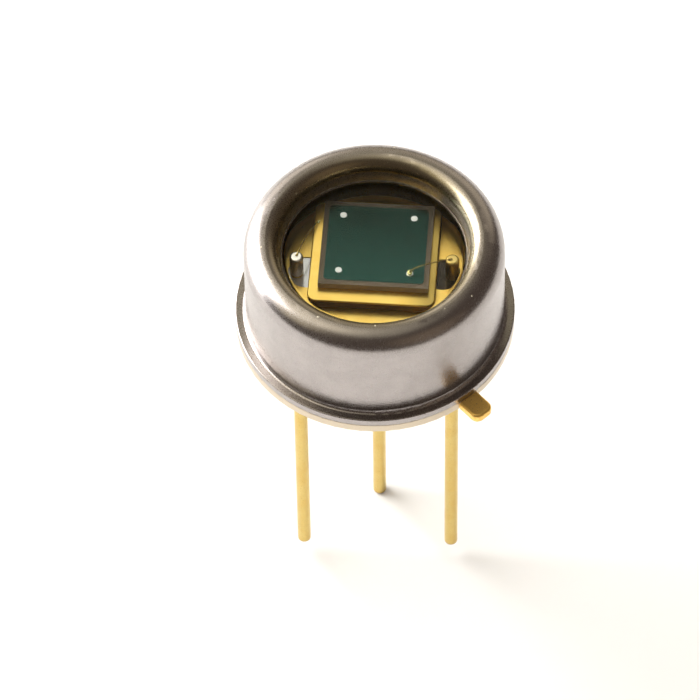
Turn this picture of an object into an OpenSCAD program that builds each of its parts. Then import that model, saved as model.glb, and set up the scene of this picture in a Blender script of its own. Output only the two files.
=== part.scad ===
// InGaAs PIN photodiode in a round metal can with a glass window and three leads.
// Millimetres. The origin is the centre of the seating plane, the underside of the header flange.
// +Z is the optical axis, towards the light. +X points to the anode lead, +Y to the case lead.

/* [Package outline] */
// Diameter of the cap's foot flange, the widest part of the can
flange_d = 9.2; // [8.6:0.05:11]
// Outer diameter of the can's straight wall
cap_d = 8.5; // [7.9:0.05:8.6]
// Height of the rim's crest above the seating plane
cap_h = 4.3; // [4.1:0.05:6.5]

/* [Cap] */
// Thickness of the drawn cap sheet
cap_sheet = 0.28; // [0.15:0.01:0.3]
// Outer radius of the rounded shoulder
shoulder_r = 0.7; // [0.5:0.05:0.9]
// Outer radius of the bend that rolls the rim inwards
lip_r = 0.42; // [0.3:0.01:0.5]
// Inside radius of the bend from the wall to the foot flange
foot_r = 0.12; // [0.05:0.01:0.2]
// Rounding on the outer edge of both flanges
flange_edge_r = 0.04; // [0.02:0.01:0.1]
// Depth of the rolled-in collar below the crest
collar_depth = 1.16; // [0.9:0.02:1.2]

/* [Window] */
// Depth of the glass face below the crest
window_recess = 0.58; // [0.5:0.02:0.7]
// Thickness of the glass between its two flat faces
window_t = 0.42; // [0.2:0.02:0.5]
// Radius of the concave glass edge that climbs the collar
meniscus_r = 0.3; // [0.25:0.01:0.4]
// Width of that concave edge
meniscus_w = 0.22; // [0.1:0.01:0.24]

/* [Header] */
// Thickness of the drawn header sheet
header_sheet = 0.35; // [0.25:0.01:0.45]
// Outer diameter of the raised eyelet
eyelet_d = 6.9; // [6.8:0.05:7.4]
// Height of the eyelet's top face, the platform, above the seating plane
platform_h = 2.3; // [1.8:0.05:2.5]
// Outer radius of the eyelet's top edge
eyelet_edge_r = 0.5; // [0.36:0.02:0.6]
// How far the header flange stays inside the cap's flange edge
flange_step = 0.01; // [0:0.01:0.1]
// Diameter of the two glass-sealed holes in the platform
seal_hole_d = 1.24; // [1.1:0.02:1.4]
// Shift of those holes from their leads towards the can's centre
seal_shift = 0.32; // [0:0.02:0.32]
// Depth of the sealing glass below the rim at the underside
glass_recess = 0.12; // [0.05:0.01:0.2]
// Depth of the glass face below the platform in the sealed holes
seal_dip = 0.04; // [0.01:0.01:0.1]

/* [Index tab] */
// Direction of the tab, counted from the anode lead
tab_angle = -47; // [-180:0.5:180]
// Width of the tab
tab_w = 0.78; // [0.6:0.02:1]
// Length of the tab beyond the header flange
tab_l = 0.86; // [0.5:0.02:1.1]
// Corner radius of the tab's tip
tab_corner_r = 0.26; // [0.16:0.01:0.36]
// Rounding along the tab's edges
tab_edge_r = 0.1; // [0.02:0.01:0.12]

/* [Leads] */
// Diameter of the round leads
lead_d = 0.45; // [0.4:0.01:0.55]
// Diameter of the circle that the leads stand on
pin_circle_d = 5.08; // [4.9:0.02:5.2]
// Length of the anode and cathode leads below the seating plane
lead_l = 13; // [6:0.5:38]
// Extra length of the case lead
case_lead_extra = 0.65; // [0:0.05:2]
// Height of the two bonding posts above the platform
post_h = 0.86; // [0.6:0.02:0.9]
// Rounding at the cut ends of the leads
lead_tip_r = 0.09; // [0.02:0.01:0.15]
// Diameter of the weld that joins the case lead to the eyelet
weld_d = 0.8; // [0.6:0.05:1]
// Height of that weld
weld_h = 0.14; // [0.05:0.01:0.2]

/* [Submount] */
// Submount size across the lead axis
submount_x = 4.16; // [3.9:0.02:4.2]
// Submount size towards the case lead
submount_y = 4.0; // [3.8:0.02:4.2]
// Submount thickness
submount_t = 0.36; // [0.2:0.02:0.4]
// Corner radius of the submount
submount_corner_r = 0.3; // [0.1:0.01:0.4]
// Rounding along the submount's edges
submount_edge_r = 0.05; // [0.01:0.01:0.09]
// Shift of the submount towards the case lead
submount_shift = 0.5; // [0.3:0.02:0.6]
// Turn of the submount against the lead axis, in degrees
submount_turn = -2.5; // [-4:0.1:4]
// Thickness of the solder under the submount
submount_solder_t = 0.03; // [0.01:0.01:0.05]

/* [Chip] */
// Chip size across the lead axis
chip_x = 3.6; // [3:0.02:3.7]
// Chip size towards the case lead
chip_y = 3.36; // [3:0.02:3.6]
// Chip thickness, with the raised light-sensitive area
chip_t = 0.25; // [0.15:0.01:0.3]
// Shift of the chip towards the case lead, from the can's centre
chip_shift = 0.69; // [0.5:0.01:0.75]
// Shift of the chip towards the anode lead, from the can's centre
chip_side = 0.05; // [-0.1:0.01:0.1]
// Turn of the chip against the lead axis, in degrees
chip_turn = -2.4; // [-4:0.1:4]
// Width of the bare border around the light-sensitive area
border_w = 0.17; // [0.1:0.01:0.25]
// Height of the light-sensitive area above the border
mesa_h = 0.015; // [0.01:0.005:0.03]
// Corner radius of the light-sensitive area
mesa_corner_r = 0.14; // [0.05:0.01:0.3]
// Thickness of the solder under the chip
die_attach_t = 0.02; // [0.01:0.01:0.04]

/* [Bonding] */
// Diameter of the bond pads
pad_d = 0.22; // [0.15:0.01:0.3]
// Thickness of the bond pads
pad_t = 0.012; // [0.005:0.001:0.02]
// Distance of the pads' centres from the chip's side edges
pad_inset_x = 0.64; // [0.4:0.02:0.8]
// Distance of the pads' centres from the chip's front and back edges
pad_inset_y = 0.56; // [0.4:0.02:0.8]
// Diameter of the gold bonding wire
wire_d = 0.04; // [0.04:0.005:0.06]
// Diameter of the ball bond
ball_d = 0.16; // [0.1:0.01:0.2]
// Height of the ball bond
ball_h = 0.08; // [0.05:0.01:0.12]
// Diameter of the wire's neck on the ball
neck_d = 0.09; // [0.05:0.01:0.12]
// Length of each flattened wire end
stitch_l = 0.14; // [0.1:0.01:0.2]
// Width of each flattened wire end
stitch_w = 0.08; // [0.06:0.01:0.1]
// Thickness of each flattened wire end
stitch_t = 0.025; // [0.01:0.005:0.03]
// Pull of the anode wire as it leaves the ball, along its run and upwards
anode_leave = [0.02, 0.26];
// Pull of the anode wire as it comes down to its post, along its run and upwards
anode_arrive = [0.5, 0.1];
// Pull of the cathode wire as it leaves the submount, along its run and upwards
cathode_leave = [0.12, 0.34];
// Pull of the cathode wire as it comes down to its post, along its run and upwards
cathode_arrive = [0.3, 0.1];
// Distance of the cathode stitch from the submount's side edge
cathode_stitch_inset = 0.12; // [0.08:0.01:0.2]
// Distance of the cathode stitch from the lead axis
cathode_stitch_y = 1.6; // [0.6:0.05:1.8]

/* [Hidden] */
$fn = 96;
flange_r = flange_d / 2;
cap_r = cap_d / 2;
crest_r = cap_r - shoulder_r;
collar_r = crest_r - lip_r;
collar_z = cap_h - collar_depth;
cap_foot_z = header_sheet;

window_top = cap_h - window_recess;
window_bottom = window_top - window_t;
meniscus_h = meniscus_r - sqrt(meniscus_r * meniscus_r - meniscus_w * meniscus_w);

eyelet_r = eyelet_d / 2;
platform_r = eyelet_r - eyelet_edge_r;
platform_under = platform_h - header_sheet;
header_flange_r = flange_r - flange_step;

pin_r = pin_circle_d / 2;
lead_r = lead_d / 2;
post_top = platform_h + post_h;
anode_at = [pin_r, 0];
cathode_at = [-pin_r, 0];
case_at = [0, pin_r];
anode_seal_at = anode_at - [seal_shift, 0];
cathode_seal_at = cathode_at + [seal_shift, 0];

submount_z = platform_h + submount_solder_t;
submount_top = submount_z + submount_t;
chip_z = submount_top + die_attach_t;
chip_top = chip_z + chip_t;
pad_top = chip_top + pad_t;

wire_r = wire_d / 2;
wire_sides = 12;
loop_steps = 24;
neck_steps = 6;

// Where a point of the chip lies, for a place given from the chip's centre
function turned(p, a) = [p.x * cos(a) - p.y * sin(a), p.x * sin(a) + p.y * cos(a)];
function on_chip(p) = turned(p, chip_turn) + [chip_side, chip_shift];
function on_submount(p) = turned(p, submount_turn) + [0, submount_shift];

// Quarter of a round bend in a sheet, in the first quadrant, from its inner to its outer radius
module quarter_bend(inner_r, outer_r) {
    intersection() {
        difference() {
            circle(outer_r);
            circle(inner_r);
        }
        square(outer_r);
    }
}

// Section of a sheet that ends in a rounded outer edge
module edge_section(from_r, to_r, t, edge_r) {
    translate([from_r, 0]) square([to_r - edge_r - from_r, t]);
    translate([from_r, edge_r]) square([to_r - from_r, t - 2 * edge_r]);
    for (z = [edge_r, t - edge_r]) translate([to_r - edge_r, z]) circle(edge_r);
}

// Rectangle with rounded corners
module rounded_plate(size, r, t) {
    linear_extrude(t) {
        square([size.x - 2 * r, size.y], center = true);
        square([size.x, size.y - 2 * r], center = true);
        for (x = [-1, 1], y = [-1, 1])
            translate([x * (size.x / 2 - r), y * (size.y / 2 - r)]) circle(r);
    }
}

// Plate with rounded corners and rounded edges: two crossing bars and a rounded disc in each corner
module soft_plate(size, corner_r, t, edge_r) {
    for (along = [0, 1])
        rotate(90 * along) rotate([90, 0, 0])
            linear_extrude(size[1 - along] - 2 * corner_r, center = true)
                for (side = [0, 1]) mirror([side, 0]) edge_section(0, size[along] / 2, t, edge_r);
    for (x = [-1, 1], y = [-1, 1])
        translate([x * (size.x / 2 - corner_r), y * (size.y / 2 - corner_r), 0])
            rotate_extrude() edge_section(0, corner_r, t, edge_r);
}

// Half section of the drawn eyelet: flange, foot bend, wall, top bend and platform
module header_section() {
    bend_r = foot_r + header_sheet;
    edge_section(eyelet_r + foot_r, header_flange_r, header_sheet, flange_edge_r);
    translate([eyelet_r + foot_r, bend_r]) rotate(180) quarter_bend(foot_r, bend_r);
    translate([eyelet_r - header_sheet, bend_r])
        square([header_sheet, platform_h - eyelet_edge_r - bend_r]);
    translate([platform_r, platform_h - eyelet_edge_r])
        quarter_bend(eyelet_edge_r - header_sheet, eyelet_edge_r);
    translate([0, platform_under]) square([platform_r, header_sheet]);
}

// Index tab that runs out of the header flange
module index_tab() {
    root_r = header_flange_r - 2 * tab_corner_r;
    tip_r = header_flange_r + tab_l;
    rotate(tab_angle) translate([(root_r + tip_r) / 2, 0, 0])
        soft_plate([tip_r - root_r, tab_w], tab_corner_r, header_sheet, tab_edge_r);
}

module header_shell() color("gold") {
    difference() {
        union() {
            rotate_extrude() header_section();
            index_tab();
        }
        for (at = [anode_seal_at, cathode_seal_at])
            translate([at.x, at.y, platform_under / 2]) cylinder(d = seal_hole_d, h = platform_h);
    }
}

// Glass fill below the platform, with a plug around each post
module header_glass() color("lightslategray") {
    difference() {
        union() {
            rotate_extrude() difference() {
                translate([0, glass_recess]) {
                    square([eyelet_r - header_sheet, platform_under - glass_recess]);
                    square([eyelet_r, header_sheet + foot_r - glass_recess]);
                }
                header_section();
            }
            for (at = [anode_seal_at, cathode_seal_at])
                translate([at.x, at.y, platform_under / 2])
                    cylinder(d = seal_hole_d, h = platform_h - seal_dip - platform_under / 2);
        }
        for (at = [anode_at, cathode_at])
            translate([at.x, at.y, 0]) cylinder(r = lead_r, h = post_top);
        translate([case_at.x, case_at.y, 0]) cylinder(r = lead_r, h = platform_under);
        translate([case_at.x, case_at.y, platform_under - weld_h]) cylinder(d = weld_d, h = weld_h);
    }
}

// Round wire with a rounded lower tip and an upper end at the given height
module lead(at, bottom, top, top_r) {
    translate([at.x, at.y, 0]) rotate_extrude() {
        translate([0, bottom + lead_tip_r]) square([lead_r, top - top_r - bottom - lead_tip_r]);
        translate([0, bottom]) square([lead_r - lead_tip_r, lead_tip_r]);
        translate([lead_r - lead_tip_r, bottom + lead_tip_r])
            rotate(-90) quarter_bend(0, lead_tip_r);
        if (top_r > 0) {
            translate([0, top - top_r]) square([lead_r - top_r, top_r]);
            translate([lead_r - top_r, top - top_r]) quarter_bend(0, top_r);
        }
    }
}

module anode_lead() color("gold") lead(anode_at, -lead_l, post_top, lead_tip_r);
module cathode_lead() color("gold") lead(cathode_at, -lead_l, post_top, lead_tip_r);
module case_lead() color("gold")
    lead(case_at, -lead_l - case_lead_extra, platform_under - weld_h, 0);

// Weld nugget between the case lead's end and the underside of the platform
module case_weld() color("goldenrod")
    translate([case_at.x, case_at.y, platform_under - weld_h]) cylinder(d = weld_d, h = weld_h);

// Half section of the cap: foot flange, wall, shoulder, rolled lip and collar
module cap_section() {
    foot_out = foot_r + cap_sheet;
    translate([0, cap_foot_z]) edge_section(cap_r + foot_r, flange_r, cap_sheet, flange_edge_r);
    translate([cap_r + foot_r, cap_foot_z + foot_out]) rotate(180) quarter_bend(foot_r, foot_out);
    translate([cap_r - cap_sheet, cap_foot_z + foot_out])
        square([cap_sheet, cap_h - shoulder_r - cap_foot_z - foot_out]);
    translate([crest_r, cap_h - shoulder_r]) quarter_bend(shoulder_r - cap_sheet, shoulder_r);
    translate([crest_r, cap_h - lip_r]) rotate(90) quarter_bend(lip_r - cap_sheet, lip_r);
    translate([collar_r, collar_z]) square([cap_sheet, cap_h - lip_r - collar_z]);
}

module cap_shell() color("silver") rotate_extrude() cap_section();

// Glass disc fused into the collar, with a concave fillet up and down the metal
module window_glass() color("lightcyan", 0.35) rotate_extrude() {
    translate([0, window_bottom]) square([collar_r, window_t]);
    for (side = [[window_top, 1], [window_bottom, -1]])
        translate([collar_r - meniscus_w, side[0]]) scale([1, side[1]]) difference() {
            square([meniscus_w, meniscus_h]);
            translate([0, meniscus_r]) circle(meniscus_r);
        }
}

module on_submount_turn(z) translate([0, submount_shift, z]) rotate(submount_turn) children();
module on_chip_turn(z) translate([chip_side, chip_shift, z]) rotate(chip_turn) children();

module submount_solder() color("darkkhaki") on_submount_turn(platform_h)
    rounded_plate([submount_x - 2 * submount_edge_r, submount_y - 2 * submount_edge_r],
                  submount_corner_r - submount_edge_r, submount_solder_t);

module submount() color("gold") on_submount_turn(submount_z)
    soft_plate([submount_x, submount_y], submount_corner_r, submount_t, submount_edge_r);

module die_attach() color("darkkhaki") on_chip_turn(submount_top)
    rounded_plate([chip_x - die_attach_t, chip_y - die_attach_t], die_attach_t, die_attach_t);

// Sawn die with its raised light-sensitive area
module photodiode_chip() color("darkslategray") on_chip_turn(chip_z) {
    translate([-chip_x / 2, -chip_y / 2, 0]) cube([chip_x, chip_y, chip_t - mesa_h]);
    rounded_plate([chip_x - 2 * border_w, chip_y - 2 * border_w], mesa_corner_r, chip_t);
}

module bond_pads() color("white") on_chip_turn(chip_top)
    for (x = [-1, 1], y = [-1, 1])
        translate([x * (chip_x / 2 - pad_inset_x), y * (chip_y / 2 - pad_inset_y), 0])
            cylinder(d = pad_d, h = pad_t);

// Point and direction on a cubic curve through its four control points
function curve_at(c, t) = pow(1 - t, 3) * c[0] + 3 * pow(1 - t, 2) * t * c[1]
    + 3 * (1 - t) * t * t * c[2] + pow(t, 3) * c[3];
function curve_dir(c, t) = 3 * pow(1 - t, 2) * (c[1] - c[0]) + 6 * (1 - t) * t * (c[2] - c[1])
    + 3 * t * t * (c[3] - c[2]);

// One ring of the wire: centre, direction of the run, half width and half height
function wire_ring(p, d, half_w, half_h) =
    let (flat = norm([d.x, d.y]) > 0 ? [d.x, d.y] / norm([d.x, d.y]) : [1, 0],
         u = d / norm(d),
         side = [-flat.y, flat.x, 0],
         up = cross(u, side))
    [for (i = [0 : wire_sides - 1])
        p + side * half_w * cos(360 * i / wire_sides) + up * half_h * sin(360 * i / wire_sides)];

// Closed tube through a list of rings
module wire_through(rings) {
    last = len(rings) - 1;
    polyhedron(
        points = [for (ring = rings) each ring],
        faces = concat(
            [[for (i = [0 : wire_sides - 1]) i]],
            [for (k = [0 : last - 1], i = [0 : wire_sides - 1])
                let (j = (i + 1) % wire_sides, a = k * wire_sides, b = a + wire_sides)
                [a + i, b + i, b + j, a + j]],
            [[for (i = [wire_sides - 1 : -1 : 0]) last * wire_sides + i]]));
}

// Rings of a loop along a cubic curve, from its first radius, then of a flattened stitch at its end
function loop_rings(c, first_r) = [for (k = [0 : loop_steps])
    let (r = wire_r + (first_r - wire_r) * max(0, 1 - k / neck_steps))
    wire_ring(curve_at(c, k / loop_steps), curve_dir(c, k / loop_steps), r, r)];
function stitch_rings(p, run) = [for (s = [0.5, 1])
    wire_ring([p.x, p.y, p.z - wire_r + stitch_t / 2] + run * s * stitch_l, run,
              stitch_w / 2, stitch_t / 2)];

function unit_xy(v) = [v.x, v.y, 0] / norm([v.x, v.y]);
function at_height(p, z) = [p.x, p.y, z];
function pulled(p, run, pull) = p + run * pull[0] + [0, 0, pull[1]];

// Gold wire from a ball bond on the front right pad to the anode post
module anode_wire() color("gold") {
    pad = on_chip([chip_x / 2 - pad_inset_x, -chip_y / 2 + pad_inset_y]);
    start = at_height(pad, pad_top + ball_h / 2);
    run = unit_xy(at_height(anode_at, 0) - at_height(pad, 0));
    heel = at_height(anode_at, post_top + wire_r) - run * stitch_l;
    translate([pad.x, pad.y, pad_top]) cylinder(d = ball_d, h = ball_h);
    wire_through(concat(
        loop_rings([start, pulled(start, run, anode_leave), pulled(heel, -run, anode_arrive), heel],
                   neck_d / 2),
        stitch_rings(heel, run)));
}

// Gold wire from a stitch on the submount's margin to the cathode post
module cathode_wire() color("gold") {
    foot = on_submount([-submount_x / 2 + cathode_stitch_inset, cathode_stitch_y - submount_shift]);
    run = unit_xy(at_height(cathode_at, 0) - at_height(foot, 0));
    toe = at_height(foot, submount_top + wire_r);
    heel = at_height(cathode_at, post_top + wire_r) - run * stitch_l;
    back_rings = stitch_rings(toe, -run);
    wire_through(concat(
        [for (ring = [back_rings[1], back_rings[0]])
            [for (i = [0 : wire_sides - 1]) ring[(wire_sides * 3 / 2 - i) % wire_sides]]],
        loop_rings([toe, pulled(toe, run, cathode_leave), pulled(heel, -run, cathode_arrive), heel],
                   wire_r),
        stitch_rings(heel, run)));
}

header_shell();
header_glass();
anode_lead();
cathode_lead();
case_lead();
case_weld();
cap_shell();
window_glass();
submount_solder();
submount();
die_attach();
photodiode_chip();
bond_pads();
anode_wire();
cathode_wire();
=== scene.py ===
"""Finish, glass, light and camera for a metal-can photodiode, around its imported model."""
import math

import bmesh
import bpy
from mathutils import Matrix, Vector


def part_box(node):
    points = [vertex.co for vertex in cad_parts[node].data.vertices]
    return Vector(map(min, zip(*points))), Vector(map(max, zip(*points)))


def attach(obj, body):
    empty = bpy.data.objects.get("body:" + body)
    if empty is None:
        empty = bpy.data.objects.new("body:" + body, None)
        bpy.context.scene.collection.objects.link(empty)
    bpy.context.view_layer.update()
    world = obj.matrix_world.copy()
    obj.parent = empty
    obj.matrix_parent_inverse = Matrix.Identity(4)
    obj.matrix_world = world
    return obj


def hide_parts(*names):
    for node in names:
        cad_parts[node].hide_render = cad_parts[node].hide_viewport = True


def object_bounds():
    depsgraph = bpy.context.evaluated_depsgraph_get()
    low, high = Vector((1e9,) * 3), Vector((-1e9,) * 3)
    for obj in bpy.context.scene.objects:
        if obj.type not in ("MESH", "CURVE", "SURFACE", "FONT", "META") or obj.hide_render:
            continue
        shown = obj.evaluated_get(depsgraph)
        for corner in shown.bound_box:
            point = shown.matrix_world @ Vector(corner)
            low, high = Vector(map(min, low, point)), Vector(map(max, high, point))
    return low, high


bl_info = {
    "name": "Metal-can photodiode",
    "version": (1, 0, 0),
    "blender": (4, 5, 0),
    "location": "View3D > Sidebar > Photodiode",
    "description": "Finishes, window glass, light and camera for a three-lead metal-can photodiode",
    "category": "Object",
}

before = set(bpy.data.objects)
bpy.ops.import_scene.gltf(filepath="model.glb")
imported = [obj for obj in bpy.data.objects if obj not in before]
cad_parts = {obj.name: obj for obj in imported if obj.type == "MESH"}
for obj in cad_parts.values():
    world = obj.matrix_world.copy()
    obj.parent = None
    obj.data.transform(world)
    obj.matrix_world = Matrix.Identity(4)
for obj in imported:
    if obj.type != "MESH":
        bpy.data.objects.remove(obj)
CAD_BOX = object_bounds()
MM = 0.001

# Places that the finishes, the window and the floor take from the frame
CAP_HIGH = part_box("cap_shell")[1]
GLASS_LOW, GLASS_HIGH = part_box("window_glass")
SUBMOUNT_LOW, SUBMOUNT_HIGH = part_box("submount")
CHIP_LOW, CHIP_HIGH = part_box("photodiode_chip")
FLOOR_Z = CAD_BOX[0].z


class FinishSettings(bpy.types.PropertyGroup):
    """Colours of the plated, glass and semiconductor surfaces."""

    nickel: bpy.props.FloatVectorProperty(
        name="Nickel", description="Satin nickel plate of the cap",
        subtype="COLOR", size=4, min=0, max=1, default=(0.44, 0.405, 0.395, 1))
    oxide: bpy.props.FloatVectorProperty(
        name="Oxide", description="Dark oxide skin where the collar is fused to the glass",
        subtype="COLOR", size=4, min=0, max=1, default=(0.36, 0.31, 0.25, 1))
    # Painted reflection and shade: this straw tone inside the lip stands in for the lip's reflection of the
    # gold interior and its darker bend.
    lip_painted_reflection: bpy.props.FloatVectorProperty(
        name="Lip painted reflection", description="Straw-coloured nickel inside the lip, from the fusing of the glass",
        subtype="COLOR", size=4, min=0, max=1, default=(0.35, 0.30, 0.20, 1))
    gold: bpy.props.FloatVectorProperty(
        name="Gold", description="Gold plate of the header and the submount",
        subtype="COLOR", size=4, min=0, max=1, default=(0.95, 0.665, 0.175, 1))
    lead_gold: bpy.props.FloatVectorProperty(
        name="Lead gold", description="Gold plate of the leads and the bond wires",
        subtype="COLOR", size=4, min=0, max=1, default=(0.69, 0.525, 0.185, 1))
    rim: bpy.props.FloatVectorProperty(
        name="Flange rim", description="Sheared rim of the header flange",
        subtype="COLOR", size=4, min=0, max=1, default=(0.64, 0.55, 0.43, 1))
    coating: bpy.props.FloatVectorProperty(
        name="Chip coating", description="Green anti-reflection coating of the light-sensitive area",
        subtype="COLOR", size=4, min=0, max=1, default=(0.020, 0.060, 0.050, 1))
    border: bpy.props.FloatVectorProperty(
        name="Chip border", description="Bare border around the chip's coating",
        subtype="COLOR", size=4, min=0, max=1, default=(0.27, 0.205, 0.14, 1))
    window: bpy.props.FloatVectorProperty(
        name="Window", description="Tint of the window glass",
        subtype="COLOR", size=4, min=0, max=1, default=(0.97, 0.985, 0.975, 1))
    # Painted light: this pale colour on the cathode-side seal stands in for light seen in the glass.
    seal_painted_light: bpy.props.FloatVectorProperty(
        name="Seal painted light", description="Lighter glass around the cathode post",
        subtype="COLOR", size=4, min=0, max=1, default=(0.88, 0.88, 0.86, 1))
    seal: bpy.props.FloatVectorProperty(
        name="Sealing glass", description="Smoky glass around the posts",
        subtype="COLOR", size=4, min=0, max=1, default=(0.05, 0.04, 0.032, 1))


class WindowSettings(bpy.types.PropertyGroup):
    """Shape of the fused window."""

    meniscus_radius: bpy.props.FloatProperty(
        name="Edge radius", description="Radius of the concave glass edge against the collar",
        subtype="DISTANCE", unit="LENGTH", default=0.30 * MM)
    meniscus_width: bpy.props.FloatProperty(
        name="Edge width", description="Width of the concave glass edge",
        subtype="DISTANCE", unit="LENGTH", default=0.22 * MM)
    bond_depth: bpy.props.FloatProperty(
        name="Bond depth", description="How far the glass is wetted into the collar's oxide skin",
        subtype="DISTANCE", unit="LENGTH", default=0.015 * MM)


class StageSettings(bpy.types.PropertyGroup):
    """Camera and light."""

    elevation: bpy.props.FloatProperty(
        name="Elevation", description="Camera's height above the horizon",
        subtype="ANGLE", unit="ROTATION", default=math.radians(54.2))
    azimuth: bpy.props.FloatProperty(
        name="Azimuth", description="Camera's turn towards the anode lead",
        subtype="ANGLE", unit="ROTATION", default=math.radians(2.6))
    roll: bpy.props.FloatProperty(
        name="Roll", description="Camera's turn about its line of sight",
        subtype="ANGLE", unit="ROTATION", default=math.radians(1.0))
    distance: bpy.props.FloatProperty(
        name="Distance", description="Camera's distance from the seating plane's centre",
        subtype="DISTANCE", unit="LENGTH", default=200 * MM)
    view_width: bpy.props.FloatProperty(
        name="View width", description="Width of the picture at the seating plane's centre",
        subtype="DISTANCE", unit="LENGTH", default=23.06 * MM)
    aim_right: bpy.props.FloatProperty(
        name="Aim right", description="How far the picture's centre lies to the right of that centre",
        subtype="DISTANCE", unit="LENGTH", default=-0.825 * MM)
    aim_up: bpy.props.FloatProperty(
        name="Aim up", description="How far the picture's centre lies above that centre",
        subtype="DISTANCE", unit="LENGTH", default=-1.055 * MM)
    side_radiance: bpy.props.FloatProperty(
        name="Side light", description="Brightness of the large soft light at the left",
        default=7.0)
    floor_radiance: bpy.props.FloatProperty(
        name="Floor light", description="Brightness of the soft light above the floor",
        default=1.16)
    inside_radiance: bpy.props.FloatProperty(
        name="Inside light", description="Brightness of the soft light that shines in through the window",
        default=0.88)


def node(tree, kind, inputs=(), **properties):
    """Add a shader node, set its properties and the values of its unlinked inputs."""
    made = tree.nodes.new(kind)
    for key, value in properties.items():
        setattr(made, key, value)
    for key, value in dict(inputs).items():
        made.inputs[key].default_value = value
    return made


def feed(tree, made, values):
    """Link or set a node's inputs, given by index as sockets or plain values."""
    for index, value in values.items():
        if isinstance(value, bpy.types.NodeSocket):
            tree.links.new(value, made.inputs[index])
        else:
            made.inputs[index].default_value = value


def mix_colour(tree, factor, first, second):
    """Mix two colours, each a socket or a plain colour, and return the result's socket."""
    made = node(tree, "ShaderNodeMix", data_type="RGBA")
    feed(tree, made, {0: factor, 6: first, 7: second})
    return made.outputs[2]


def math_node(tree, operation, first, second, clamp=False):
    """One arithmetic step on sockets or plain numbers; returns the result's socket."""
    made = node(tree, "ShaderNodeMath", operation=operation, use_clamp=clamp)
    feed(tree, made, {0: first, 1: second})
    return made.outputs[0]


def remap(tree, value, low, high, to_low=0.0, to_high=1.0, smooth=True):
    """Map a value from one range to another, clamped; returns the result's socket."""
    made = node(tree, "ShaderNodeMapRange", {1: low, 2: high, 3: to_low, 4: to_high},
                interpolation_type="SMOOTHSTEP" if smooth else "LINEAR")
    tree.links.new(value, made.inputs[0])
    return made.outputs[0]


def fading(tree, value, low, high):
    """A mask that falls from 1 to 0 as a value goes from low to high; returns its socket."""
    return remap(tree, value, low, high, to_low=1.0, to_high=0.0)


def noise(tree, vector, scale):
    """Noise on the given coordinates; returns the value's socket."""
    made = node(tree, "ShaderNodeTexNoise", {"Scale": scale, "Detail": 3.0, "Roughness": 0.5})
    tree.links.new(vector, made.inputs["Vector"])
    return made.outputs["Fac"]


def plating_group():
    """Shared effect: uneven plating with a fine grain, as colour, roughness and height."""
    found = bpy.data.node_groups.get("plating")
    if found:
        return found
    tree = bpy.data.node_groups.new("plating", "ShaderNodeTree")
    face = tree.interface
    for name, kind in (("Vector", "Vector"), ("Light", "Color"), ("Dark", "Color"), ("Mottle", "Float"),
                       ("Grain", "Float"), ("Smooth", "Float"), ("Rough", "Float")):
        face.new_socket(name, in_out="INPUT", socket_type="NodeSocket" + kind)
    for name, kind in (("Color", "Color"), ("Roughness", "Float"), ("Height", "Float")):
        face.new_socket(name, in_out="OUTPUT", socket_type="NodeSocket" + kind)
    given = node(tree, "NodeGroupInput")
    result = node(tree, "NodeGroupOutput")
    mottle = node(tree, "ShaderNodeTexNoise", {"Detail": 4.0, "Roughness": 0.6})
    grain = node(tree, "ShaderNodeTexNoise", {"Detail": 5.0, "Roughness": 0.65})
    for texture, scale in ((mottle, "Mottle"), (grain, "Grain")):
        tree.links.new(given.outputs["Vector"], texture.inputs["Vector"])
        tree.links.new(given.outputs[scale], texture.inputs["Scale"])
    uneven = remap(tree, mottle.outputs["Fac"], 0.3, 0.7)
    colour = mix_colour(tree, uneven, given.outputs["Light"], given.outputs["Dark"])
    spread = node(tree, "ShaderNodeMapRange")
    feed(tree, spread, {0: grain.outputs["Fac"], 1: 0.25, 2: 0.75, 3: given.outputs["Smooth"],
                        4: given.outputs["Rough"]})
    tree.links.new(colour, result.inputs["Color"])
    tree.links.new(spread.outputs[0], result.inputs["Roughness"])
    tree.links.new(grain.outputs["Fac"], result.inputs["Height"])
    return tree


def specks_group():
    """Sparse small specks of dust, as a mask."""
    found = bpy.data.node_groups.get("specks")
    if found:
        return found
    tree = bpy.data.node_groups.new("specks", "ShaderNodeTree")
    face = tree.interface
    for name, kind in (("Vector", "Vector"), ("Scale", "Float"), ("Size", "Float"), ("Share", "Float")):
        face.new_socket(name, in_out="INPUT", socket_type="NodeSocket" + kind)
    face.new_socket("Mask", in_out="OUTPUT", socket_type="NodeSocketFloat")
    given = node(tree, "NodeGroupInput")
    result = node(tree, "NodeGroupOutput")
    cells = node(tree, "ShaderNodeTexVoronoi", {"Randomness": 1.0}, feature="F1")
    tree.links.new(given.outputs["Vector"], cells.inputs["Vector"])
    tree.links.new(given.outputs["Scale"], cells.inputs["Scale"])
    near = math_node(tree, "LESS_THAN", cells.outputs["Distance"], given.outputs["Size"])
    pick = node(tree, "ShaderNodeSeparateColor")
    tree.links.new(cells.outputs["Color"], pick.inputs[0])
    chosen = math_node(tree, "LESS_THAN", pick.outputs[0], given.outputs["Share"])
    mask = math_node(tree, "MULTIPLY", near, chosen)
    tree.links.new(mask, result.inputs["Mask"])
    return tree


def shaded(colour, share):
    """The same colour at a share of its brightness."""
    return (colour[0] * share, colour[1] * share, colour[2] * share, 1.0)


def new_material(name, **constants):
    """A material with a Principled shader; the constants go straight to its sockets."""
    made = bpy.data.materials.new(name)
    made.use_nodes = True
    shader = made.node_tree.nodes["Principled BSDF"]
    for key, value in constants.items():
        shader.inputs[key.replace("_", " ").title().replace("Ior", "IOR")].default_value = value
    return made, made.node_tree, shader


def object_coordinates(tree):
    """The piece's own coordinates, in metres."""
    return node(tree, "ShaderNodeTexCoord").outputs["Object"]


def parts_of(tree, vector):
    """The X, Y and Z sockets of a vector."""
    made = node(tree, "ShaderNodeSeparateXYZ")
    tree.links.new(vector, made.inputs[0])
    return made.outputs


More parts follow.
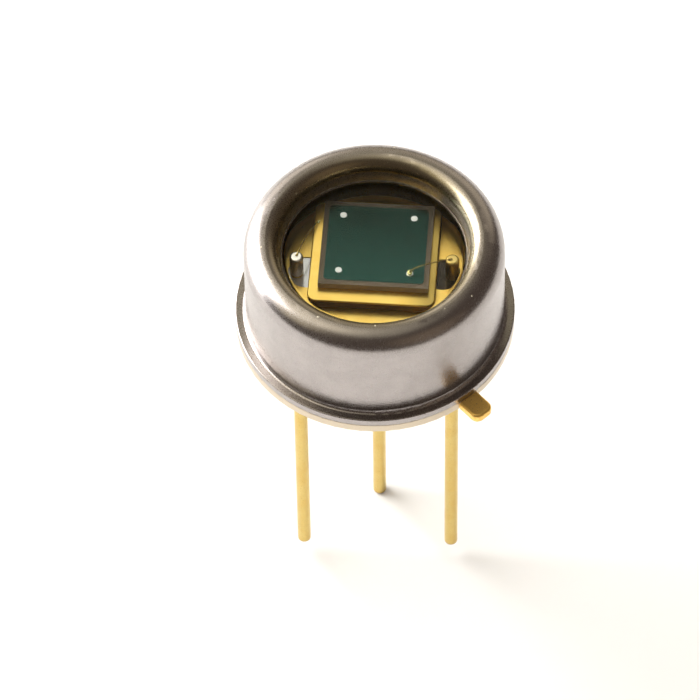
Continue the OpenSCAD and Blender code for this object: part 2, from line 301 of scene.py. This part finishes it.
def add_bump(tree, shader, height, distance, strength):
    """Feed a height into the shader's normal."""
    made = node(tree, "ShaderNodeBump", {"Strength": strength, "Distance": distance})
    tree.links.new(height, made.inputs["Height"])
    tree.links.new(made.outputs[0], shader.inputs["Normal"])


def add_plating(tree, shader, light, dark, mottle, grain, smooth, rough, depth):
    """Place the plating effect in a material; returns its colour's socket."""
    values = {"Light": light, "Dark": dark, "Mottle": mottle, "Grain": grain, "Smooth": smooth,
              "Rough": rough}
    made = node(tree, "ShaderNodeGroup", values, node_tree=plating_group())
    tree.links.new(object_coordinates(tree), made.inputs["Vector"])
    tree.links.new(made.outputs["Color"], shader.inputs["Base Color"])
    tree.links.new(made.outputs["Roughness"], shader.inputs["Roughness"])
    add_bump(tree, shader, made.outputs["Height"], distance=depth, strength=0.5)
    return made.outputs["Color"]


def add_specks(tree, scale, size, share):
    """Place the speck effect in a material; returns its mask's socket."""
    made = node(tree, "ShaderNodeGroup", {"Scale": scale, "Size": size, "Share": share},
                node_tree=specks_group())
    tree.links.new(object_coordinates(tree), made.inputs["Vector"])
    return made.outputs["Mask"]


def axis_radius(tree):
    """Distance of the shaded point from the optical axis; returns the value's socket."""
    level = node(tree, "ShaderNodeVectorMath", operation="MULTIPLY")
    feed(tree, level, {0: object_coordinates(tree), 1: (1, 1, 0)})
    radius = node(tree, "ShaderNodeVectorMath", operation="LENGTH")
    feed(tree, radius, {0: level.outputs[0]})
    return radius.outputs["Value"]


def nickel_material():
    """Satin nickel with dust on the lip, a straw tone of painted reflection and shade inside it and an
    oxide skin against the glass.
    """
    colours = bpy.context.scene.photodiode_finish
    made, tree, shader = new_material("nickel_plate")
    plate = add_plating(tree, shader, colours.nickel, shaded(colours.nickel, 0.9), mottle=1400.0,
                        grain=26000.0, smooth=0.25, rough=0.31, depth=0.0014 * MM)
    height = parts_of(tree, object_coordinates(tree))["Z"]
    radius = axis_radius(tree)
    lip_foot = CAP_HIGH.z - 0.45 * MM
    on_lip = math_node(tree, "GREATER_THAN", height, lip_foot)
    dust = math_node(tree, "MULTIPLY", on_lip, add_specks(tree, scale=2600.0, size=0.09, share=0.55))
    dust_colour = (0.62, 0.56, 0.44, 1)
    colour = mix_colour(tree, dust, plate, dust_colour)
    collar = GLASS_HIGH.x
    # Painted reflection and shade: a straw tone inside the lip, fading out towards the crest.
    painted_reflection_lip = fading(tree, radius, collar + 0.1 * MM, collar + 0.5 * MM)
    colour = mix_colour(tree, painted_reflection_lip, colour, colours.lip_painted_reflection)
    inside = fading(tree, radius, collar + 0.01 * MM, collar + 0.03 * MM)
    below = fading(tree, height, GLASS_HIGH.z, GLASS_HIGH.z + 0.02 * MM)
    sealed = math_node(tree, "MULTIPLY", inside, below)
    colour = mix_colour(tree, sealed, colour, colours.oxide)
    matte_share = 0.4
    dull = math_node(tree, "ADD", dust, math_node(tree, "MULTIPLY", sealed, matte_share))
    tree.links.new(math_node(tree, "SUBTRACT", 1.0, dull, clamp=True), shader.inputs["Metallic"])
    tree.links.new(colour, shader.inputs["Base Color"])
    return made


def gold_material(name, tint, smooth, rough):
    """Gold plate with a fine grain and slightly uneven colour; returns the colour's socket as well."""
    made, tree, shader = new_material(name, metallic=1.0)
    warm = (tint[0] * 0.97, tint[1] * 0.90, tint[2] * 0.78, 1)
    plate = add_plating(tree, shader, tint, warm, mottle=1800.0, grain=30000.0, smooth=smooth, rough=rough,
                        depth=0.002 * MM)
    return made, tree, shader, plate


def header_material():
    """Gold-plated eyelet whose flange has a paler sheared rim and a duller index tab."""
    colours = bpy.context.scene.photodiode_finish
    made, tree, shader, plate = gold_material("gold_header", colours.gold, smooth=0.25, rough=0.35)
    radius = axis_radius(tree)
    rim_from = CAP_HIGH.x - 0.06 * MM
    tab_from = CAP_HIGH.x + 0.005 * MM
    rim = math_node(tree, "GREATER_THAN", radius, rim_from)
    tab = math_node(tree, "GREATER_THAN", radius, tab_from)
    tab_gold = (1.0, 0.63, 0.17, 1)
    colour = mix_colour(tree, rim, plate, colours.rim)
    colour = mix_colour(tree, tab, colour, tab_gold)
    tree.links.new(colour, shader.inputs["Base Color"])
    metallic = remap(tree, tab, 0.0, 1.0, to_low=1.0, to_high=0.82, smooth=False)
    tree.links.new(metallic, shader.inputs["Metallic"])
    return made


def lead_material(name):
    """Gold-plated wire whose sheared tip shows duller metal; the cathode's post is painted pale as a
    painted highlight.
    """
    tint = bpy.context.scene.photodiode_finish.lead_gold
    made, tree, shader, plate = gold_material("gold_" + name, tint, smooth=0.24, rough=0.34)
    height = parts_of(tree, object_coordinates(tree))["Z"]
    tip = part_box(name)[0].z
    bare = fading(tree, height, tip + 0.02 * MM, tip + 0.16 * MM)
    bare_metal = (0.42, 0.30, 0.16, 1)
    colour = mix_colour(tree, bare, plate, bare_metal)
    if name == "cathode_lead":
        post = math_node(tree, "GREATER_THAN", height, SUBMOUNT_LOW.z)
        # Painted highlight: the cathode's post above the platform is painted pale.
        post_painted_highlight = (0.92, 0.88, 0.80, 1)
        colour = mix_colour(tree, post, colour, post_painted_highlight)
    tree.links.new(colour, shader.inputs["Base Color"])
    return made


def wire_material():
    """Drawn gold wire at half brightness along its loop, with a painted highlight on the flattened ball."""
    tint = bpy.context.scene.photodiode_finish.lead_gold
    made, tree, shader, plate = gold_material("gold_wire", shaded(tint, 0.5), smooth=0.2, rough=0.3)
    height = parts_of(tree, object_coordinates(tree))["Z"]
    ball = fading(tree, height, CHIP_HIGH.z + 0.09 * MM, CHIP_HIGH.z + 0.16 * MM)
    # Painted highlight: a bright colour on the flattened ball and the wire just above it.
    ball_painted_highlight = (0.95, 0.90, 0.42, 1)
    tree.links.new(mix_colour(tree, ball, plate, ball_painted_highlight), shader.inputs["Base Color"])
    return made


def seal_material():
    """Smoky sealing glass with fine streaks in it; near the top on the cathode side it is glazed and
    painted pale, as painted light seen in the glass.
    """
    colours = bpy.context.scene.photodiode_finish
    made, tree, shader = new_material(
        "sealing_glass", metallic=0.0, ior=1.5, transmission_weight=0.5, specular_tint=(0.3, 0.25, 0.2, 1),
        coat_ior=4.5, coat_roughness=0.12)
    smoky = add_plating(tree, shader, colours.seal, shaded(colours.seal, 0.55), mottle=2500.0, grain=9000.0,
                        smooth=0.06, rough=0.16, depth=0.004 * MM)
    place = parts_of(tree, object_coordinates(tree))
    # Painted light: near the top on the cathode side the seal is painted pale, standing in for light seen
    # in the glass; the coat there is a real glaze.
    cathode_side = math_node(tree, "LESS_THAN", place["X"], 0.0)
    near_top = remap(tree, place["Z"], SUBMOUNT_LOW.z - 0.4 * MM, SUBMOUNT_LOW.z - 0.2 * MM)
    clear = math_node(tree, "MULTIPLY", cathode_side, near_top)
    tree.links.new(mix_colour(tree, clear, smoky, colours.seal_painted_light), shader.inputs["Base Color"])
    tree.links.new(clear, shader.inputs["Coat Weight"])
    return made


def submount_material():
    """Gold-plated top with painted shade darkening it towards the anode side, over bare brown sides."""
    made, tree, shader = new_material("gold_submount", metallic=1.0)
    gold = bpy.context.scene.photodiode_finish.gold
    warm = (gold[0] * 0.97, gold[1] * 0.92, gold[2] * 0.8, 1)
    plate = add_plating(tree, shader, gold, warm, mottle=1800.0, grain=30000.0, smooth=0.27, rough=0.31,
                        depth=0.002 * MM)
    centre = (SUBMOUNT_LOW + SUBMOUNT_HIGH) / 2
    half = (SUBMOUNT_HIGH - SUBMOUNT_LOW) / 2
    from_centre = node(tree, "ShaderNodeVectorMath", operation="SUBTRACT")
    feed(tree, from_centre, {0: object_coordinates(tree), 1: centre})
    place = parts_of(tree, from_centre.outputs[0])
    # Painted shade: the plate darkens towards the anode side.
    painted_shade_anode_side = remap(tree, place["X"], 0.3 * half.x, half.x)
    colour = mix_colour(tree, painted_shade_anode_side, plate, shaded(gold, 0.42))
    plate_foot = half.z - 0.06 * MM
    side = math_node(tree, "LESS_THAN", place["Z"], plate_foot)
    bare_brown = (0.16, 0.10, 0.05, 1)
    tree.links.new(mix_colour(tree, side, colour, bare_brown), shader.inputs["Base Color"])
    return made


def solder_material():
    """Dull gold-tin solder."""
    made, tree, shader = new_material("solder", metallic=1.0)
    add_plating(tree, shader, light=(0.50, 0.40, 0.22, 1), dark=(0.36, 0.28, 0.15, 1), mottle=5000.0,
                grain=24000.0, smooth=0.35, rough=0.5, depth=0.004 * MM)
    return made


def window_material():
    """Clear fused glass with a faint uneven tint, coated so that it reflects little."""
    colours = bpy.context.scene.photodiode_finish
    made, tree, shader = new_material(
        "window_glass", metallic=0.0, roughness=0.0, ior=1.48, transmission_weight=1.0,
        specular_ior_level=0.2, specular_tint=(0.14, 0.11, 0.06, 1))
    uneven = remap(tree, noise(tree, object_coordinates(tree), scale=900.0), 0.3, 0.7)
    tint = mix_colour(tree, uneven, colours.window, shaded(colours.window, 0.985))
    tree.links.new(tint, shader.inputs["Base Color"])
    return made


def chip_material():
    """Green mirror-like coating, bare border and sawn sides of the chip, told apart by height; coating and
    border darken towards the back as painted shade.
    """
    colours = bpy.context.scene.photodiode_finish
    made, tree, shader = new_material("photodiode_chip", specular_ior_level=0.3)
    place = object_coordinates(tree)
    along = parts_of(tree, place)
    mesa_foot = CHIP_HIGH.z - 0.006 * MM
    on_mesa = math_node(tree, "GREATER_THAN", along["Z"], mesa_foot)
    # Painted shade: the coating and the border darken towards the back.
    painted_shade_back = remap(tree, along["Y"], CHIP_LOW.y, CHIP_HIGH.y)
    cloud = remap(tree, noise(tree, place, scale=1500.0), 0.35, 0.65, to_high=0.25)
    green = mix_colour(tree, painted_shade_back, colours.coating, shaded(colours.coating, 0.3))
    green = mix_colour(tree, cloud, green, shaded(colours.coating, 0.85))
    saw = noise(tree, place, scale=22000.0)
    bare = mix_colour(tree, saw, colours.border, shaded(colours.border, 0.6))
    bare = mix_colour(tree, painted_shade_back, bare, shaded(colours.border, 0.3))
    sawn_top = CHIP_HIGH.z - 0.03 * MM
    sawn = math_node(tree, "LESS_THAN", along["Z"], sawn_top)
    sawn_side = (0.50, 0.36, 0.20, 1)
    bare = mix_colour(tree, sawn, bare, sawn_side)
    tree.links.new(mix_colour(tree, on_mesa, bare, green), shader.inputs["Base Color"])
    tree.links.new(on_mesa, shader.inputs["Metallic"])
    roughness = remap(tree, on_mesa, 0.0, 1.0, to_low=0.42, to_high=0.15, smooth=False)
    tree.links.new(roughness, shader.inputs["Roughness"])
    add_bump(tree, shader, saw, distance=0.001 * MM, strength=0.1)
    return made


def pad_material():
    """Bright evaporated bond pads with a fine grain."""
    made, tree, shader = new_material("pad_metal", metallic=1.0)
    add_plating(tree, shader, light=(0.86, 0.87, 0.84, 1), dark=(0.76, 0.76, 0.73, 1), mottle=9000.0,
                grain=60000.0, smooth=0.4, rough=0.55, depth=0.001 * MM)
    return made


def floor_material():
    """Pale matte floor, clear from below so that the underside can be looked at."""
    made, tree, shader = new_material("floor", roughness=0.9)
    uneven = noise(tree, object_coordinates(tree), scale=60.0)
    white, grey = (0.90, 0.90, 0.90, 1), (0.88, 0.88, 0.885, 1)
    tree.links.new(mix_colour(tree, uneven, white, grey), shader.inputs["Base Color"])
    behind = node(tree, "ShaderNodeNewGeometry").outputs["Backfacing"]
    clear = node(tree, "ShaderNodeBsdfTransparent")
    either = node(tree, "ShaderNodeMixShader")
    feed(tree, either, {0: behind, 1: shader.outputs[0], 2: clear.outputs[0]})
    tree.links.new(either.outputs[0], tree.nodes["Material Output"].inputs["Surface"])
    return made


def finish_node(name, material):
    """Give a CAD node its finish."""
    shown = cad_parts[name]
    shown.data.materials.clear()
    shown.data.materials.append(material)


def new_piece(name, mesh, material):
    """Put a finished mesh into the scene as a piece that rides on the part."""
    piece = bpy.data.objects.new(name, mesh)
    mesh.materials.append(material)
    bpy.context.scene.collection.objects.link(piece)
    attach(piece, "root")
    return piece


def mesh_from(bm, name, sharp=math.radians(30)):
    """Turn a finished bmesh into a smooth-shaded mesh with sharp edges above an angle."""
    bmesh.ops.remove_doubles(bm, verts=bm.verts, dist=1e-7)
    bmesh.ops.recalc_face_normals(bm, faces=bm.faces)
    mesh = bpy.data.meshes.new(name)
    bm.to_mesh(mesh)
    bm.free()
    mesh.shade_smooth()
    mesh.set_sharp_from_angle(angle=sharp)
    return mesh


def spun(profile, steps):
    """A bmesh of a half section, given as radius and height pairs, spun about the optical axis."""
    bm = bmesh.new()
    points = [bm.verts.new((radius, 0.0, height)) for radius, height in profile]
    edges = [bm.edges.new(pair) for pair in zip(points, points[1:])]
    bmesh.ops.spin(bm, geom=points + edges, cent=(0, 0, 0), axis=(0, 0, 1), angle=math.tau,
                   steps=steps, use_merge=True)
    return bm


class PHOTODIODE_OT_cap(bpy.types.Operator):
    """Give the drawn cap its satin nickel finish"""

    bl_idname = "photodiode.cap"
    bl_label = "Cap"

    def execute(self, context):
        finish_node("cap_shell", nickel_material())
        return {"FINISHED"}


class PHOTODIODE_OT_window(bpy.types.Operator):
    """Make the fused glass window with its concave edges"""

    bl_idname = "photodiode.window"
    bl_label = "Window"

    arc_steps = 10
    spin_steps = 160
    run_in = 0.03 * MM  # Flat ring before the concave edge starts

    def execute(self, context):
        shape = context.scene.photodiode_window
        radius, width, arc = GLASS_HIGH.x, shape.meniscus_width, shape.meniscus_radius
        climb = arc - math.sqrt(arc ** 2 - width ** 2)
        top, bottom = GLASS_HIGH.z - climb, GLASS_LOW.z + climb
        sweep = math.asin(width / arc)
        turns = [sweep * step / self.arc_steps for step in range(self.arc_steps + 1)]
        rise = [(arc * math.sin(turn), arc - arc * math.cos(turn)) for turn in turns]
        flat = radius - width
        outer = radius + shape.bond_depth
        profile = [(0.0, bottom), (flat - self.run_in, bottom)]
        profile += [(flat + along, bottom - up) for along, up in rise]
        profile += [(outer, GLASS_LOW.z), (outer, GLASS_HIGH.z)]
        profile += [(flat + along, top + up) for along, up in reversed(rise)]
        profile += [(flat - self.run_in, top), (0.0, top)]
        mesh = mesh_from(spun(profile, self.spin_steps), "window")
        piece = new_piece("window", mesh, window_material())
        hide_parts("window_glass")
        return {"FINISHED"}


class PHOTODIODE_OT_header(bpy.types.Operator):
    """Give the eyelet its gold plate and the seals their smoky glass"""

    bl_idname = "photodiode.header"
    bl_label = "Header"

    def execute(self, context):
        finish_node("header_shell", header_material())
        finish_node("header_glass", seal_material())
        finish_node("case_weld", solder_material())
        return {"FINISHED"}


class PHOTODIODE_OT_leads(bpy.types.Operator):
    """Give the three leads their gold plate"""

    bl_idname = "photodiode.leads"
    bl_label = "Leads"

    def execute(self, context):
        for name in ("anode_lead", "cathode_lead", "case_lead"):
            finish_node(name, lead_material(name))
        return {"FINISHED"}


class PHOTODIODE_OT_die(bpy.types.Operator):
    """Finish the submount, the chip, the solder layers and the bonds"""

    bl_idname = "photodiode.die"
    bl_label = "Die and bonds"

    def execute(self, context):
        solder = solder_material()
        for name in ("submount_solder", "die_attach"):
            finish_node(name, solder)
        finish_node("submount", submount_material())
        finish_node("photodiode_chip", chip_material())
        finish_node("bond_pads", pad_material())
        wire = wire_material()
        for name in ("anode_wire", "cathode_wire"):
            finish_node(name, wire)
        return {"FINISHED"}


def soft_light(name, place, away, size, radiance):
    """A rectangular soft light at a place, with its back towards a direction."""
    data = bpy.data.lights.new(name, "AREA")
    data.shape = "RECTANGLE"
    data.size, data.size_y = size
    data.energy = radiance * math.pi * size[0] * size[1]
    light = bpy.data.objects.new(name, data)
    light.location = place
    light.rotation_mode = "QUATERNION"
    light.rotation_quaternion = Vector(away).to_track_quat("Z", "Y")
    light.visible_camera = False
    bpy.context.scene.collection.objects.link(light)
    return light


def room_world():
    """A dim, warm room with soft lighter patches behind, above, at the left and at the front right."""
    world = bpy.data.worlds.new("room")
    world.use_nodes = True
    tree = world.node_tree
    direction = node(tree, "ShaderNodeTexCoord").outputs["Generated"]
    # The patches straight behind are measured on a stretched direction, which makes them tall strips
    stretched = node(tree, "ShaderNodeVectorMath", operation="MULTIPLY")
    feed(tree, stretched, {0: direction, 1: (2.5, 1, 1)})
    upright = node(tree, "ShaderNodeVectorMath", operation="NORMALIZE")
    feed(tree, upright, {0: stretched.outputs[0]})
    strip = upright.outputs[0]

    # Each patch: what it is measured on, its direction, the cosines of its edge and its core, its colour
    behind_low = (strip, (-0.07, 0.90, 0.43), 0.82, 0.96, (0.45, 0.39, 0.28, 1))
    behind_high = (strip, (-0.07, 0.66, 0.75), 0.90, 0.98, (0.44, 0.40, 0.28, 1))
    overhead = (direction, (-0.12, 0.06, 0.99), 0.88, 0.97, (0.44, 0.40, 0.31, 1))
    left_front = (direction, (-0.72, -0.08, 0.69), 0.88, 0.98, (0.76, 0.66, 0.44, 1))
    upper_left = (direction, (-0.45, 0.22, 0.865), 0.88, 0.97, (1.45, 1.32, 1.0, 1))
    left_back = (direction, (-0.42, 0.83, 0.33), 0.93, 0.985, (1.5, 1.38, 1.15, 1))
    right_back = (direction, (0.36, 0.85, 0.38), 0.92, 0.985, (0.75, 0.66, 0.50, 1))
    right_front = (direction, (0.61, -0.61, 0.5), 0.85, 0.98, (0.26, 0.20, 0.145, 1))
    colour = (0.11, 0.085, 0.07, 1)
    for vector, towards, edge, core, tint in (behind_low, behind_high, overhead, left_front, upper_left,
                                              left_back, right_back, right_front):
        aim = node(tree, "ShaderNodeVectorMath", operation="DOT_PRODUCT")
        feed(tree, aim, {0: vector, 1: Vector(towards).normalized()})
        colour = mix_colour(tree, remap(tree, aim.outputs["Value"], edge, core), colour, tint)
    tree.links.new(colour, tree.nodes["Background"].inputs["Color"])
    bpy.context.scene.world = world


class PHOTODIODE_OT_stage(bpy.types.Operator):
    """Lay the floor, set the light and aim the camera"""

    bl_idname = "photodiode.stage"
    bl_label = "Stage"

    floor_size = 0.7

    def execute(self, context):
        stage = context.scene.photodiode_stage
        self.make_floor()
        room_world()
        soft_light("side_light", place=(-0.1343, 0.0655, 0.090), away=(-0.8988, 0.4384, 0),
                   size=(0.133, 0.208), radiance=stage.side_radiance)
        wash = soft_light("floor_light", place=(-0.1, 0, 0.5), away=(0, 0, 1), size=(0.8, 0.8),
                          radiance=stage.floor_radiance)
        wash.visible_glossy = wash.visible_transmission = False
        inside = soft_light("inside_light", place=(-0.047, 0.134, 0.268), away=(-0.155, 0.440, 0.884),
                            size=(0.31, 0.29), radiance=stage.inside_radiance)
        inside.visible_glossy = inside.visible_diffuse = False
        self.aim_camera(stage)
        context.scene.view_settings.view_transform = "Standard"
        return {"FINISHED"}

    def make_floor(self):
        """Lay a pale floor where the longest lead ends."""
        bm = bmesh.new()
        bmesh.ops.create_grid(bm, x_segments=8, y_segments=8, size=self.floor_size / 2,
                              matrix=Matrix.Translation((0, 0, FLOOR_Z)))
        mesh = bpy.data.meshes.new("floor")
        bm.to_mesh(mesh)
        bm.free()
        mesh.materials.append(floor_material())
        floor = bpy.data.objects.new("floor", mesh)
        bpy.context.scene.collection.objects.link(floor)

    def aim_camera(self, stage):
        """Place the camera by its angles, its distance and the picture's width."""
        azimuth, elevation = stage.azimuth, stage.elevation
        back = Vector((math.sin(azimuth) * math.cos(elevation), -math.cos(azimuth) * math.cos(elevation),
                       math.sin(elevation)))
        level = Vector((math.cos(azimuth), math.sin(azimuth), 0))
        upright = back.cross(level)
        right = level * math.cos(stage.roll) - upright * math.sin(stage.roll)
        up = level * math.sin(stage.roll) + upright * math.cos(stage.roll)
        data = bpy.data.cameras.new("camera")
        data.lens = data.sensor_width * stage.distance / stage.view_width
        data.clip_start, data.clip_end = 0.01, 10.0
        camera = bpy.data.objects.new("camera", data)
        turn = Matrix((right, up, back)).transposed().to_4x4()
        place = back * stage.distance + right * stage.aim_right + up * stage.aim_up
        camera.matrix_world = Matrix.Translation(place) @ turn
        bpy.context.scene.collection.objects.link(camera)
        bpy.context.scene.camera = camera


OPERATORS = (PHOTODIODE_OT_stage, PHOTODIODE_OT_cap, PHOTODIODE_OT_window, PHOTODIODE_OT_header,
             PHOTODIODE_OT_leads, PHOTODIODE_OT_die)
SETTINGS = {"photodiode_finish": FinishSettings, "photodiode_window": WindowSettings,
            "photodiode_stage": StageSettings}


class PHOTODIODE_PT_panel(bpy.types.Panel):
    """Lists the photodiode's pieces and their settings"""

    bl_label = "Photodiode"
    bl_space_type = "VIEW_3D"
    bl_region_type = "UI"
    bl_category = "Photodiode"

    def draw(self, context):
        for operator in OPERATORS:
            self.layout.operator(operator.bl_idname)
        for name, settings in SETTINGS.items():
            box = self.layout.box()
            for key in settings.__annotations__:
                box.prop(getattr(context.scene, name), key)


def register():
    """Add the settings, operators and panel."""
    for kind in (*SETTINGS.values(), *OPERATORS, PHOTODIODE_PT_panel):
        bpy.utils.register_class(kind)
    for name, settings in SETTINGS.items():
        setattr(bpy.types.Scene, name, bpy.props.PointerProperty(type=settings))


def unregister():
    """Take the settings, operators and panel away again."""
    for name in SETTINGS:
        delattr(bpy.types.Scene, name)
    for kind in reversed((*SETTINGS.values(), *OPERATORS, PHOTODIODE_PT_panel)):
        bpy.utils.unregister_class(kind)


def main():
    register()
    for operator in OPERATORS:
        group, name = operator.bl_idname.split(".")
        getattr(getattr(bpy.ops, group), name)()


if __name__ == "__main__":
    main()
